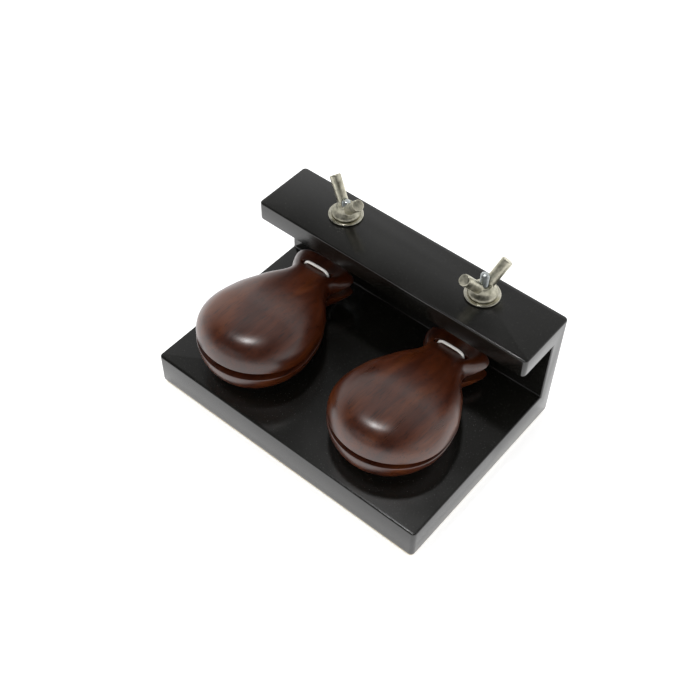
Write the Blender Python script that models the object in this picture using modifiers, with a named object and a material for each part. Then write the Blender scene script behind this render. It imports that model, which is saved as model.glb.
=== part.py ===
"""Table castanets.

Two pairs of castanets lie on a black wooden stand with a C-shaped section.  The lower shell of
each pair is screwed to the base.  The upper shell rocks on it, held by an elastic cord that runs
over its neck, down through both shells and up to an eye bolt in the rail.  A wing nut on the rail
draws the eye bolt up and sets the tension.

Metres, +Z up.  The origin is the middle of the non-slip pad's underside.  +X runs along the
stand to the player's right, and -Y is the open side, towards the player.
"""

import math

import bmesh
import bpy
from mathutils import Matrix, Vector

MM = 0.001

# Clearances
SEAT_GAP = 0.3 * MM
BOLT_CLEARANCE = 0.35 * MM
CORD_HOLE_CLEARANCE = 0.6 * MM
SCREW_CLEARANCE = 0.4 * MM

# Stand
STAND_WIDTH = 182 * MM
STAND_DEPTH = 127 * MM
BASE_THICKNESS = 20 * MM
WALL_THICKNESS = 11.6 * MM
CLEAR_HEIGHT = 43.9 * MM
RAIL_THICKNESS = 12.2 * MM
RAIL_DEPTH = 39.9 * MM
CORNER_RADIUS = 2.6 * MM
EDGE_RADIUS = 0.9 * MM
PAD_THICKNESS = 2.2 * MM
PAD_INSET = 0.8 * MM

# Hidden fixings of the stand
FIXING_SPACING = 66 * MM
WALL_SCREW_RADIUS = 1.8 * MM
WALL_SCREW_HEAD_RADIUS = 3.8 * MM
WALL_SCREW_HEAD_HEIGHT = 2.6 * MM
WALL_SCREW_BITE = 20 * MM
WALL_SCREW_SINK = 1 * MM
DOWEL_RADIUS = 3 * MM
DOWEL_BITE = 8.5 * MM
DOWEL_CHAMFER = 0.7 * MM

# Castanet shell, measured from its front end and from its rim plane
SHELL_HALF_WIDTH = 33.9 * MM
FRONT_TO_WIDEST = 32.6 * MM
WIDEST_TO_NECK = 46.2 * MM
NECK_HALF_WIDTH = 14.2 * MM
NECK_TO_EAR_TIP = 14.5 * MM
EAR_HALF_WIDTH = 20.5 * MM
EAR_TIP_TO_TAIL = 5.8 * MM
SHELL_HEIGHT = 16.9 * MM
NECK_HEIGHT = 11.6 * MM
EAR_HEIGHT = 9.2 * MM
NECK_TO_FULCRUM = 8.3 * MM
EAR_BEVEL = math.radians(11.6)
BOWL_HALF_WIDTH = 25 * MM
BOWL_HALF_LENGTH = 24 * MM
BOWL_DEPTH = 9.8 * MM
HOLE_HALF_SPREAD = 8.8 * MM
NECK_TO_HOLES = 6.6 * MM

# How each pair sits on the stand
LEFT_NECK_X = -50 * MM
RIGHT_NECK_X = 43.2 * MM
LEFT_NECK_TO_BOLT = 28.6 * MM
RIGHT_NECK_TO_BOLT = 25.9 * MM
LEFT_YAW = math.radians(2.4)
RIGHT_YAW = math.radians(0.7)
LEFT_LOWER_PITCH = math.radians(0.8)
RIGHT_LOWER_PITCH = math.radians(3.0)
LEFT_MOUTH_ANGLE = math.radians(3.9)
RIGHT_MOUTH_ANGLE = math.radians(2.6)

# Fixing of a lower shell
SPACER_THICKNESS = 1.3 * MM
SPACER_RADIUS = 8 * MM
SHELL_SCREW_RADIUS = 1.8 * MM
SHELL_SCREW_HEAD_RADIUS = 3.6 * MM
SHELL_SCREW_HEAD_HEIGHT = 2.2 * MM
SHELL_SCREW_BITE = 13 * MM
SCREW_SEAT_SINK = 0.8 * MM

# Tension gear
CORD_DIAMETER = 1.8 * MM
CORD_POINT_STEP = 2.1 * MM
BOLT_SPACING = 93.5 * MM
BOLT_TO_WALL = 4.3 * MM
STUD_RADIUS = 2.45 * MM
EYE_BOLT_LENGTH = 36.4 * MM
EYE_RADIUS = 5 * MM
EYE_WIRE_RADIUS = 1.9 * MM
LEFT_STUD_ABOVE_RAIL = 10.6 * MM
RIGHT_STUD_ABOVE_RAIL = 15.8 * MM
STUD_CHAMFER = 0.6 * MM
WASHER_RADIUS = 10 * MM
WASHER_THICKNESS = 1.2 * MM

# Wing nut
NUT_FLANGE_RADIUS = 7 * MM
NUT_FLANGE_HEIGHT = 1.4 * MM
NUT_HUB_TOP_RADIUS = 5 * MM
NUT_HUB_HEIGHT = 5.2 * MM
WING_RADIUS = 3.3 * MM
WING_TIP_REACH = 14 * MM
WING_TIP_HEIGHT = 17 * MM
WING_SPLAY = math.radians(42)
WING_LENGTH = 17 * MM
WING_END_ROUND = 0.5 * MM
LEFT_NUT_TURN = math.radians(-23)
RIGHT_NUT_TURN = math.radians(71)

# Fineness of the round shapes
OUTLINE_FRONT_STEPS = 10
OUTLINE_SIDE_STEPS = 5
CROWN_RINGS = 8
ROUND_SIDES = 24
SMALL_SIDES = 16

# Heights that follow
WOOD_BOTTOM = PAD_THICKNESS
BASE_TOP = WOOD_BOTTOM + BASE_THICKNESS
RAIL_BOTTOM = BASE_TOP + CLEAR_HEIGHT
RAIL_TOP = RAIL_BOTTOM + RAIL_THICKNESS
BOLT_Y = STAND_DEPTH / 2 - WALL_THICKNESS - BOLT_TO_WALL
FRONT_TO_NECK = FRONT_TO_WIDEST + WIDEST_TO_NECK
FRONT_TO_FULCRUM = FRONT_TO_NECK - NECK_TO_FULCRUM
FULCRUM_TO_WIDEST = FRONT_TO_FULCRUM - FRONT_TO_WIDEST
FULCRUM_TO_HOLES = NECK_TO_FULCRUM + NECK_TO_HOLES
FULCRUM_TO_TAIL = NECK_TO_FULCRUM + NECK_TO_EAR_TIP + EAR_TIP_TO_TAIL
CORD_HOLE_RADIUS = CORD_DIAMETER / 2 + CORD_HOLE_CLEARANCE
FIXING_XS = {"left": -FIXING_SPACING, "middle": 0.0, "right": FIXING_SPACING}

PAIRS = {
    "left": {
        "neck": (LEFT_NECK_X, BOLT_Y - LEFT_NECK_TO_BOLT),
        "yaw": LEFT_YAW,
        "pitch": LEFT_LOWER_PITCH,
        "mouth": LEFT_MOUTH_ANGLE,
        "bolt_x": -BOLT_SPACING / 2,
        "stud_top": RAIL_TOP + LEFT_STUD_ABOVE_RAIL,
        "nut_turn": LEFT_NUT_TURN,
    },
    "right": {
        "neck": (RIGHT_NECK_X, BOLT_Y - RIGHT_NECK_TO_BOLT),
        "yaw": RIGHT_YAW,
        "pitch": RIGHT_LOWER_PITCH,
        "mouth": RIGHT_MOUTH_ANGLE,
        "bolt_x": BOLT_SPACING / 2,
        "stud_top": RAIL_TOP + RIGHT_STUD_ABOVE_RAIL,
        "nut_turn": RIGHT_NUT_TURN,
    },
}


def clear_scene():
    for item in list(bpy.data.objects):
        bpy.data.objects.remove(item, do_unlink=True)


def make_collection(name):
    collection = bpy.data.collections.new(name)
    bpy.context.scene.collection.children.link(collection)
    return collection


def make_material(name, colour, roughness, metallic=0.0):
    material = bpy.data.materials.new(name)
    material.use_nodes = True
    shader = material.node_tree.nodes["Principled BSDF"]
    shader.inputs["Base Color"].default_value = (*colour, 1.0)
    shader.inputs["Roughness"].default_value = roughness
    shader.inputs["Metallic"].default_value = metallic
    return material


clear_scene()
PARTS = make_collection("table_castanets")
CUTTERS = make_collection("cutters")

BLACK_LACQUER = make_material("black_lacquer", (0.012, 0.012, 0.011), 0.35)
ROSEWOOD = make_material("rosewood", (0.085, 0.03, 0.018), 0.32)
CREAM_RUBBER = make_material("cream_rubber", (0.72, 0.66, 0.52), 0.8)
WHITE_CORD = make_material("white_cord", (0.85, 0.82, 0.78), 0.7)
NICKEL = make_material("nickel_plate", (0.62, 0.58, 0.5), 0.25, 1.0)
ZINC = make_material("zinc_plate", (0.6, 0.63, 0.66), 0.35, 1.0)
FELT = make_material("felt", (0.05, 0.05, 0.05), 0.95)
BEECH = make_material("beech", (0.6, 0.42, 0.25), 0.6)


def add_object(name, mesh, material=None, collection=None):
    """Put a mesh in the scene, as a part with its material or as a hidden cutter."""
    item = bpy.data.objects.new(name, mesh)
    if material is not None and not mesh.materials:
        mesh.materials.append(material)
    (collection or PARTS).objects.link(item)
    if collection is CUTTERS:
        item.hide_render = True
        item.display_type = "WIRE"
    return item


def mesh_from(name, bm):
    mesh = bpy.data.meshes.new(name)
    bm.to_mesh(mesh)
    bm.free()
    return mesh


def box_mesh(name, low, high):
    """A box between two corners."""
    low, high = Vector(low), Vector(high)
    bm = bmesh.new()
    bmesh.ops.create_cube(bm, size=1.0)
    bmesh.ops.scale(bm, vec=high - low, verts=bm.verts)
    bmesh.ops.translate(bm, vec=(low + high) / 2, verts=bm.verts)
    return mesh_from(name, bm)


def rod_mesh(name, radius, low, high, sides=SMALL_SIDES):
    """A rod along Z between two heights."""
    bm = bmesh.new()
    bmesh.ops.create_cone(
        bm, cap_ends=True, segments=sides, radius1=radius, radius2=radius, depth=high - low
    )
    bmesh.ops.translate(bm, vec=(0, 0, (low + high) / 2), verts=bm.verts)
    return mesh_from(name, bm)


def turned_mesh(name, profile, sides=ROUND_SIDES, ring=False):
    """Turn a profile of (radius, height) points, listed top to bottom down its outer side."""
    mesh = bpy.data.meshes.new(name)
    edges = [(i, i + 1) for i in range(len(profile) - 1)]
    if ring:
        edges.append((len(profile) - 1, 0))
    mesh.from_pydata([(radius, 0, height) for radius, height in profile], edges, [])
    item = add_object(name + "_profile", mesh, collection=CUTTERS)
    screw = item.modifiers.new("Turn", "SCREW")
    screw.axis = "Z"
    screw.steps = sides
    screw.render_steps = sides
    screw.use_merge_vertices = True
    screw.merge_threshold = 0.00001
    return evaluated_mesh(name, item)


def evaluated_mesh(name, item):
    """The mesh of an object as its modifiers leave it.  The object and its name are freed."""
    depsgraph = bpy.context.evaluated_depsgraph_get()
    mesh = bpy.data.meshes.new_from_object(item.evaluated_get(depsgraph))
    mesh.name = name
    bpy.data.objects.remove(item, do_unlink=True)
    bm = bmesh.new()
    bm.from_mesh(mesh)
    bmesh.ops.remove_doubles(bm, verts=bm.verts, dist=0.000002)
    bm.to_mesh(mesh)
    bm.free()
    return mesh


def boolean(item, other, operation):
    """Join, cut or trim an object by another one, which becomes a hidden cutter."""
    modifier = item.modifiers.new(operation.title(), "BOOLEAN")
    modifier.operation = operation
    modifier.solver = "EXACT"
    modifier.object = other
    return modifier


def shade(item, angle=40):
    item.data.shade_smooth()
    item.data.set_sharp_from_angle(angle=math.radians(angle))


def between(stations, y):
    """A smooth curve through (y, value) stations, with no overshoot between them."""
    last = len(stations) - 2
    index = min(max(sum(1 for s in stations if s[0] <= y) - 1, 0), last)
    slopes = [
        (stations[i + 1][1] - stations[i][1]) / (stations[i + 1][0] - stations[i][0])
        for i in range(last + 1)
    ]

    def tangent(i):
        if i == 0 or i > last:
            return 0.0
        before, after = slopes[i - 1], slopes[i]
        return 0.0 if before * after <= 0 else 2 * before * after / (before + after)

    (y0, v0), (y1, v1) = stations[index], stations[index + 1]
    span = y1 - y0
    t = min(max((y - y0) / span, 0.0), 1.0)
    rise0, rise1 = tangent(index) * span, tangent(index + 1) * span
    return (
        (2 * t**3 - 3 * t**2 + 1) * v0
        + (t**3 - 2 * t**2 + t) * rise0
        + (3 * t**2 - 2 * t**3) * v1
        + (t**3 - t**2) * rise1
    )


def shell_widths():
    """Half widths of the shell's outline behind its widest place, against y from the fulcrum."""
    swell = SHELL_HALF_WIDTH - NECK_HALF_WIDTH
    widest = -FULCRUM_TO_WIDEST
    neck = NECK_TO_FULCRUM
    tip = neck + NECK_TO_EAR_TIP
    return [
        (widest, SHELL_HALF_WIDTH),
        (widest + WIDEST_TO_NECK * 0.33, SHELL_HALF_WIDTH - swell * 0.11),
        (widest + WIDEST_TO_NECK * 0.66, SHELL_HALF_WIDTH - swell * 0.475),
        (neck, NECK_HALF_WIDTH),
        (neck + NECK_TO_EAR_TIP * 0.5, NECK_HALF_WIDTH * 0.42 + EAR_HALF_WIDTH * 0.58),
        (tip, EAR_HALF_WIDTH),
    ]


def crown_heights():
    """Heights of the shell's crown along its middle, against y from the fulcrum."""
    widest = -FULCRUM_TO_WIDEST
    neck = NECK_TO_FULCRUM
    return [
        (widest, SHELL_HEIGHT),
        (widest + WIDEST_TO_NECK * 0.45, SHELL_HEIGHT * 0.6 + NECK_HEIGHT * 0.4),
        (neck, NECK_HEIGHT),
        (neck + NECK_TO_EAR_TIP, EAR_HEIGHT),
        (neck + NECK_TO_EAR_TIP + EAR_TIP_TO_TAIL, EAR_HEIGHT),
    ]


def shell_outline():
    """The right half of the shell's outline, from its front end to the middle of its tail.

    The front is a quarter ellipse, the side follows the widths, and the tail is a quarter of a
    squarish ellipse.  Each point carries the spine point that it rises towards and the two
    exponents of its crown: a soft section in front, a slab with upright sides at the ears.
    """
    widest = -FULCRUM_TO_WIDEST
    neck = NECK_TO_FULCRUM
    tip = neck + NECK_TO_EAR_TIP
    points = []
    for step in range(OUTLINE_FRONT_STEPS):
        turn = math.pi / 2 * step / OUTLINE_FRONT_STEPS
        x = SHELL_HALF_WIDTH * math.sin(turn)
        y = widest - FRONT_TO_WIDEST * math.cos(turn)
        front = math.cos(turn) ** 2
        points.append((x, y, widest, 2.9 + 2.1 * front, 2.0 + 0.4 * front))
    stations = shell_widths()
    for (start, _), (end, _) in zip(stations, stations[1:]):
        for step in range(OUTLINE_SIDE_STEPS):
            y = start + (end - start) * step / OUTLINE_SIDE_STEPS
            slab = min(max((y - widest) / (neck - widest), 0.0), 1.0) ** 4
            points.append((between(stations, y), y, y, 2.9 + 3.1 * slab, 2.0 + 0.8 * slab))
    for step in range(OUTLINE_SIDE_STEPS + 1):
        turn = math.pi / 2 * step / OUTLINE_SIDE_STEPS
        x = EAR_HALF_WIDTH * max(math.cos(turn), 0.0) ** 0.42
        y = tip + EAR_TIP_TO_TAIL * math.sin(turn) ** 0.8
        points.append((x, y, tip, 6.0, 2.8))
    return points


def crown_point(x, y, spine, across, along, lift):
    """A point of the crown: lift runs from 0 at the rim to 1 on the spine."""
    turn = math.pi / 2 * lift
    reach = max(math.cos(turn), 0.0) ** (2 / across)
    rise = math.sin(turn) ** (2 / along)
    height = between(crown_heights(), spine)
    return (x * reach, spine + (y - spine) * reach, height * rise)


def blank_shell_mesh(name):
    """The outer form of a shell, flat below: rings of its outline that rise to the spine."""
    half = shell_outline()
    ring = half + [(-x, *rest) for x, *rest in half[-2:0:-1]]
    bm = bmesh.new()
    rows = [
        [bm.verts.new(crown_point(*point, step / CROWN_RINGS)) for point in ring]
        for step in range(CROWN_RINGS + 1)
    ]
    count = len(ring)
    for low, high in zip(rows, rows[1:]):
        for i in range(count):
            j = (i + 1) % count
            bm.faces.new((low[i], low[j], high[j], high[i]))
    bm.faces.new(list(reversed(rows[0])))
    bmesh.ops.remove_doubles(bm, verts=bm.verts, dist=0.00002)
    bmesh.ops.dissolve_degenerate(bm, dist=0.00001, edges=bm.edges)
    bmesh.ops.recalc_face_normals(bm, faces=bm.faces)
    return mesh_from(name, bm)


def bowl_cutter(name):
    """The hollow that makes a shell ring, an ellipsoid centred on the rim plane."""
    bm = bmesh.new()
    bmesh.ops.create_uvsphere(bm, u_segments=ROUND_SIDES, v_segments=12, radius=1.0)
    bmesh.ops.scale(bm, vec=(BOWL_HALF_WIDTH, BOWL_HALF_LENGTH, BOWL_DEPTH), verts=bm.verts)
    bmesh.ops.translate(bm, vec=(0, -FULCRUM_TO_WIDEST, 0), verts=bm.verts)
    return add_object(name, mesh_from(name, bm), collection=CUTTERS)


def bevel_cutter(name):
    """A block that slopes up from the fulcrum to the tail, to free the ears when they rock."""
    reach = FULCRUM_TO_TAIL * 1.5
    width = EAR_HALF_WIDTH * 1.5
    mesh = box_mesh(name, (-width, 0, -reach), (width, reach, 0))
    mesh.transform(Matrix.Rotation(EAR_BEVEL, 4, "X"))
    return add_object(name, mesh, collection=CUTTERS)


def cord_hole_cutter(name, x):
    mesh = rod_mesh(name, CORD_HOLE_RADIUS, -SHELL_HEIGHT, SHELL_HEIGHT, 12)
    mesh.transform(Matrix.Translation((x, FULCRUM_TO_HOLES, 0)))
    return add_object(name, mesh, collection=CUTTERS)


def screw_hole_cutter(name):
    """The screw's hole through the crown, with a flat seat for its head in the bowl."""
    seat = BOWL_DEPTH + SCREW_SEAT_SINK
    profile = [
        (0, SHELL_HEIGHT * 1.5),
        (SHELL_SCREW_RADIUS + SCREW_CLEARANCE, SHELL_HEIGHT * 1.5),
        (SHELL_SCREW_RADIUS + SCREW_CLEARANCE, seat),
        (SHELL_SCREW_HEAD_RADIUS + SCREW_CLEARANCE, seat),
        (SHELL_SCREW_HEAD_RADIUS + SCREW_CLEARANCE, -SEAT_GAP),
        (0, -SEAT_GAP),
    ]
    mesh = turned_mesh(name, profile, SMALL_SIDES)
    mesh.transform(Matrix.Translation((0, -FULCRUM_TO_WIDEST, 0)))
    return add_object(name, mesh, collection=CUTTERS)


def finished_shell_mesh(name, screwed):
    """A shell with its bowl, its bevelled ears and its cord holes, its crown towards +Z."""
    blank = add_object(name + "_blank", blank_shell_mesh(name), ROSEWOOD)
    cutters = [
        bowl_cutter(name + "_bowl"),
        bevel_cutter(name + "_bevel"),
        cord_hole_cutter(name + "_hole_a", -HOLE_HALF_SPREAD),
        cord_hole_cutter(name + "_hole_b", HOLE_HALF_SPREAD),
    ]
    if screwed:
        cutters.append(screw_hole_cutter(name + "_screw_hole"))
    for cutter in cutters:
        boolean(blank, cutter, "DIFFERENCE")
    mesh = evaluated_mesh(name, blank)
    for cutter in cutters:
        bpy.data.objects.remove(cutter, do_unlink=True)
    return mesh


def pair_frames(pair):
    """The upper and the lower shell's placing, both with their origin on the fulcrum."""
    neck_x, neck_y = pair["neck"]
    turn = Matrix.Rotation(pair["yaw"], 4, "Z")
    crown_low = SHELL_HEIGHT * math.cos(pair["pitch"])
    rock = FULCRUM_TO_WIDEST * math.sin(pair["pitch"])
    lower_z = BASE_TOP + SPACER_THICKNESS + 2 * SEAT_GAP + crown_low - rock
    back = turn @ Vector((0, -NECK_TO_FULCRUM, 0))
    place = Vector((neck_x + back.x, neck_y + back.y, lower_z))
    lower = Matrix.Translation(place) @ turn @ Matrix.Rotation(-pair["pitch"], 4, "X")
    tilt = pair["pitch"] + pair["mouth"]
    lift = Vector((0, 0, SEAT_GAP))
    upper = Matrix.Translation(place + lift) @ turn @ Matrix.Rotation(-tilt, 4, "X")
    return upper, lower


def make_shells(side, pair, upper_mesh, lower_mesh):
    upper_frame, lower_frame = pair_frames(pair)
    upper = add_object(f"upper_shell_{side}", upper_mesh)
    upper.matrix_world = upper_frame
    lower = add_object(f"lower_shell_{side}", lower_mesh)
    lower.matrix_world = lower_frame @ Matrix.Rotation(math.pi, 4, "Y")
    for item in (upper, lower):
        shade(item)


def stand_envelope():
    """The whole lacquered stand as one C-shaped body, its upright outer corners rounded."""
    front, rear = -STAND_DEPTH / 2, STAND_DEPTH / 2
    inner = rear - WALL_THICKNESS
    rail_front = rear - RAIL_DEPTH
    outline = [
        (front, WOOD_BOTTOM),
        (rear, WOOD_BOTTOM),
        (rear, RAIL_TOP),
        (rail_front, RAIL_TOP),
        (rail_front, RAIL_BOTTOM),
        (inner, RAIL_BOTTOM),
        (inner, BASE_TOP),
        (front, BASE_TOP),
    ]
    curve = bpy.data.curves.new("stand_outline", "CURVE")
    curve.dimensions = "2D"
    curve.fill_mode = "BOTH"
    curve.extrude = STAND_WIDTH / 2
    spline = curve.splines.new("POLY")
    spline.points.add(len(outline) - 1)
    for point, (y, z) in zip(spline.points, outline):
        point.co = (y, z, 0, 1)
    spline.use_cyclic_u = True
    item = bpy.data.objects.new("stand_outline", curve)
    CUTTERS.objects.link(item)
    mesh = evaluated_mesh("stand_envelope", item)
    mesh.transform(Matrix(((0, 0, 1, 0), (1, 0, 0, 0), (0, 1, 0, 0), (0, 0, 0, 1))))
    bm = bmesh.new()
    bm.from_mesh(mesh)
    bmesh.ops.dissolve_limit(
        bm, angle_limit=math.radians(1), verts=bm.verts, edges=bm.edges
    )
    tiny = 0.00001
    corners = [
        edge
        for edge in bm.edges
        if abs(edge.verts[0].co.x - edge.verts[1].co.x) < tiny
        and abs(edge.verts[0].co.y - edge.verts[1].co.y) < tiny
        and abs(edge.verts[0].co.y - inner) > tiny
    ]
    bmesh.ops.bevel(
        bm,
        geom=corners,
        offset=CORNER_RADIUS,
        segments=3,
        profile=0.5,
        affect="EDGES",
        clamp_overlap=True,
    )
    bmesh.ops.recalc_face_normals(bm, faces=bm.faces)
    bm.to_mesh(mesh)
    bm.free()
    return mesh


def board(name, envelope, low, high, cutters):
    """The slice of the stand between two heights, as its own board."""
    item = add_object(name, envelope.copy(), BLACK_LACQUER)
    rounding = item.modifiers.new("Rounded edges", "BEVEL")
    rounding.width = EDGE_RADIUS
    rounding.segments = 2
    rounding.limit_method = "ANGLE"
    rounding.angle_limit = math.radians(50)
    margin = STAND_WIDTH
    slab = box_mesh(name + "_slab", (-margin, -margin, low), (margin, margin, high))
    boolean(item, add_object(name + "_slab", slab, collection=CUTTERS), "INTERSECT")
    for cutter in cutters:
        boolean(item, cutter, "DIFFERENCE")
    return item


def placed_cutter(name, mesh, location):
    item = add_object(name, mesh, collection=CUTTERS)
    item.location = location
    return item


def wall_screw_profile(extra):
    """A countersunk screw pointing up from its head's flat, grown by extra for its hole."""
    shank = WALL_SCREW_RADIUS + extra
    head = WALL_SCREW_HEAD_RADIUS + extra
    tip = BASE_THICKNESS - WALL_SCREW_SINK + WALL_SCREW_BITE
    return [
        (0, tip + extra),
        (shank * 0.4, tip + extra),
        (shank, tip - 2 * shank + extra),
        (shank, WALL_SCREW_HEAD_HEIGHT),
        (head, extra * 0.5),
        (head, -extra),
        (0, -extra),
    ]


def make_wall_screws():
    """The long screws that come up through the base into the wall's end grain."""
    centre_y = STAND_DEPTH / 2 - WALL_THICKNESS / 2
    mesh = turned_mesh("wall_screw", wall_screw_profile(0), SMALL_SIDES)
    for label, x in FIXING_XS.items():
        item = add_object(f"wall_screw_{label}", mesh, ZINC)
        item.location = (x, centre_y, WOOD_BOTTOM + WALL_SCREW_SINK)
        shade(item)


def make_rail_dowels():
    """The pegs that pin the rail onto the wall."""
    centre_y = STAND_DEPTH / 2 - WALL_THICKNESS / 2
    half = DOWEL_BITE - SEAT_GAP
    profile = [
        (0, half),
        (DOWEL_RADIUS - DOWEL_CHAMFER, half),
        (DOWEL_RADIUS, half - DOWEL_CHAMFER),
        (DOWEL_RADIUS, DOWEL_CHAMFER - half),
        (DOWEL_RADIUS - DOWEL_CHAMFER, -half),
        (0, -half),
    ]
    mesh = turned_mesh("rail_dowel", profile, SMALL_SIDES)
    for label, x in FIXING_XS.items():
        item = add_object(f"rail_dowel_{label}", mesh, BEECH)
        item.location = (x, centre_y, RAIL_BOTTOM)
        shade(item)


def shell_screw_places():
    """Where each lower shell's screw enters the base, with the lean of its shell."""
    places = {}
    for side, pair in PAIRS.items():
        _, lower = pair_frames(pair)
        places[side] = lower @ Matrix.Translation((0, -FULCRUM_TO_WIDEST, 0))
    return places


def make_stand():
    envelope = stand_envelope()
    centre_y = STAND_DEPTH / 2 - WALL_THICKNESS / 2
    screw_holes = []
    dowel_holes = []
    for label, x in FIXING_XS.items():
        mesh = turned_mesh("screw_hole", wall_screw_profile(SCREW_CLEARANCE), SMALL_SIDES)
        mesh.transform(Matrix.Translation((0, 0, WALL_SCREW_SINK)))
        place = (x, centre_y, WOOD_BOTTOM)
        screw_holes.append(placed_cutter(f"wall_screw_hole_{label}", mesh, place))
        access = rod_mesh(
            "screw_access",
            WALL_SCREW_HEAD_RADIUS + SCREW_CLEARANCE,
            -EDGE_RADIUS,
            WALL_SCREW_SINK,
        )
        screw_holes.append(placed_cutter(f"wall_screw_access_{label}", access, place))
        hole = rod_mesh(
            "dowel_hole", DOWEL_RADIUS + SEAT_GAP, -DOWEL_BITE, DOWEL_BITE
        )
        dowel_holes.append(
            placed_cutter(f"dowel_hole_{label}", hole, (x, centre_y, RAIL_BOTTOM))
        )
    pilot_holes = []
    for side, place in shell_screw_places().items():
        length = SHELL_HEIGHT + SPACER_THICKNESS + SHELL_SCREW_BITE
        pilot = rod_mesh(
            "pilot", SHELL_SCREW_RADIUS + SEAT_GAP, -length - SEAT_GAP, -SHELL_HEIGHT
        )
        item = add_object(f"shell_screw_pilot_{side}", pilot, collection=CUTTERS)
        item.matrix_world = place
        pilot_holes.append(item)
    bolt_holes = []
    for side, pair in PAIRS.items():
        hole = rod_mesh(
            "bolt_hole", STUD_RADIUS + BOLT_CLEARANCE, -RAIL_THICKNESS, RAIL_THICKNESS
        )
        place = (pair["bolt_x"], BOLT_Y, RAIL_BOTTOM + RAIL_THICKNESS / 2)
        bolt_holes.append(placed_cutter(f"bolt_hole_{side}", hole, place))
    half_gap = SEAT_GAP / 2
    board(
        "base_board",
        envelope,
        WOOD_BOTTOM - EDGE_RADIUS,
        BASE_TOP - half_gap,
        screw_holes + pilot_holes,
    )
    board(
        "rear_wall",
        envelope,
        BASE_TOP + half_gap,
        RAIL_BOTTOM - half_gap,
        screw_holes + dowel_holes,
    )
    board(
        "top_rail",
        envelope,
        RAIL_BOTTOM + half_gap,
        RAIL_TOP + EDGE_RADIUS,
        bolt_holes + dowel_holes,
    )


def make_pad():
    """The non-slip sheet under the base, its corners rounded like the base's."""
    x = STAND_WIDTH / 2 - PAD_INSET
    y = STAND_DEPTH / 2 - PAD_INSET
    mesh = box_mesh("non_slip_pad", (-x, -y, 0), (x, y, PAD_THICKNESS - SEAT_GAP))
    bm = bmesh.new()
    bm.from_mesh(mesh)
    upright = [
        edge
        for edge in bm.edges
        if abs(edge.verts[0].co.z - edge.verts[1].co.z) > PAD_THICKNESS / 4
    ]
    bmesh.ops.bevel(
        bm, geom=upright, offset=CORNER_RADIUS, segments=3, profile=0.5, affect="EDGES"
    )
    bm.to_mesh(mesh)
    bm.free()
    add_object("non_slip_pad", mesh, CREAM_RUBBER)


def make_spacer(side, place):
    """The felt washer between the base and a lower shell's crown."""
    hole = SHELL_SCREW_RADIUS + SCREW_CLEARANCE
    profile = [
        (hole, SPACER_THICKNESS),
        (SPACER_RADIUS, SPACER_THICKNESS),
        (SPACER_RADIUS, 0),
        (hole, 0),
    ]
    item = add_object(f"shell_spacer_{side}", turned_mesh("spacer", profile, ring=True), FELT)
    foot = place @ Vector((0, 0, -SHELL_HEIGHT))
    item.location = (foot.x, foot.y, BASE_TOP + SEAT_GAP)
    shade(item)


def make_shell_screw(side, place):
    """The round-headed screw in the lower bowl, which leans as its shell does."""
    seat = -(BOWL_DEPTH + SCREW_SEAT_SINK) + SEAT_GAP
    head = SHELL_SCREW_HEAD_RADIUS
    top = seat + SHELL_SCREW_HEAD_HEIGHT
    tip = -(SHELL_HEIGHT + SPACER_THICKNESS + SHELL_SCREW_BITE)
    profile = [
        (0, top),
        (head * 0.55, top - SHELL_SCREW_HEAD_HEIGHT * 0.15),
        (head * 0.9, top - SHELL_SCREW_HEAD_HEIGHT * 0.5),
        (head, seat + SHELL_SCREW_HEAD_HEIGHT * 0.1),
        (head, seat),
        (SHELL_SCREW_RADIUS, seat),
        (SHELL_SCREW_RADIUS, tip + 2 * SHELL_SCREW_RADIUS),
        (SHELL_SCREW_RADIUS * 0.3, tip),
        (0, tip),
    ]
    mesh = turned_mesh("shell_screw", profile, SMALL_SIDES)
    item = add_object(f"shell_screw_{side}", mesh, ZINC)
    item.matrix_world = place
    shade(item)


def make_washer(side, pair):
    hole = STUD_RADIUS + BOLT_CLEARANCE
    top = WASHER_THICKNESS
    soft = WASHER_THICKNESS * 0.2
    profile = [
        (hole, top),
        (WASHER_RADIUS - soft, top),
        (WASHER_RADIUS, top - soft),
        (WASHER_RADIUS, 0),
        (hole, 0),
    ]
    item = add_object(f"washer_{side}", turned_mesh("washer", profile, 32, True), NICKEL)
    item.location = (pair["bolt_x"], BOLT_Y, RAIL_TOP + SEAT_GAP)
    shade(item)


def make_eye_bolt(side, pair):
    """A straight stud with a ring at its foot, which faces the player."""
    bend = EYE_RADIUS
    profile = [
        (0, EYE_BOLT_LENGTH),
        (STUD_RADIUS - STUD_CHAMFER, EYE_BOLT_LENGTH),
        (STUD_RADIUS, EYE_BOLT_LENGTH - STUD_CHAMFER),
        (STUD_RADIUS, bend),
        (0, bend),
    ]
    stud = add_object(f"eye_bolt_{side}", turned_mesh("stud", profile, 20), ZINC)
    wire = bpy.data.curves.new("eye", "CURVE")
    wire.dimensions = "3D"
    wire.bevel_depth = EYE_WIRE_RADIUS
    wire.bevel_resolution = 3
    spline = wire.splines.new("POLY")
    spline.points.add(ROUND_SIDES - 1)
    for number, point in enumerate(spline.points):
        turn = 2 * math.pi * (number + 0.5) / ROUND_SIDES
        point.co = (EYE_RADIUS * math.sin(turn), 0, EYE_RADIUS * math.cos(turn), 1)
    spline.use_cyclic_u = True
    loop = bpy.data.objects.new("eye_curve", wire)
    CUTTERS.objects.link(loop)
    ring = add_object(f"eye_ring_{side}", evaluated_mesh("eye_ring", loop), collection=CUTTERS)
    place = (pair["bolt_x"], BOLT_Y, pair["stud_top"] - EYE_BOLT_LENGTH)
    stud.location = place
    ring.location = place
    boolean(stud, ring, "UNION")
    shade(stud)


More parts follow.
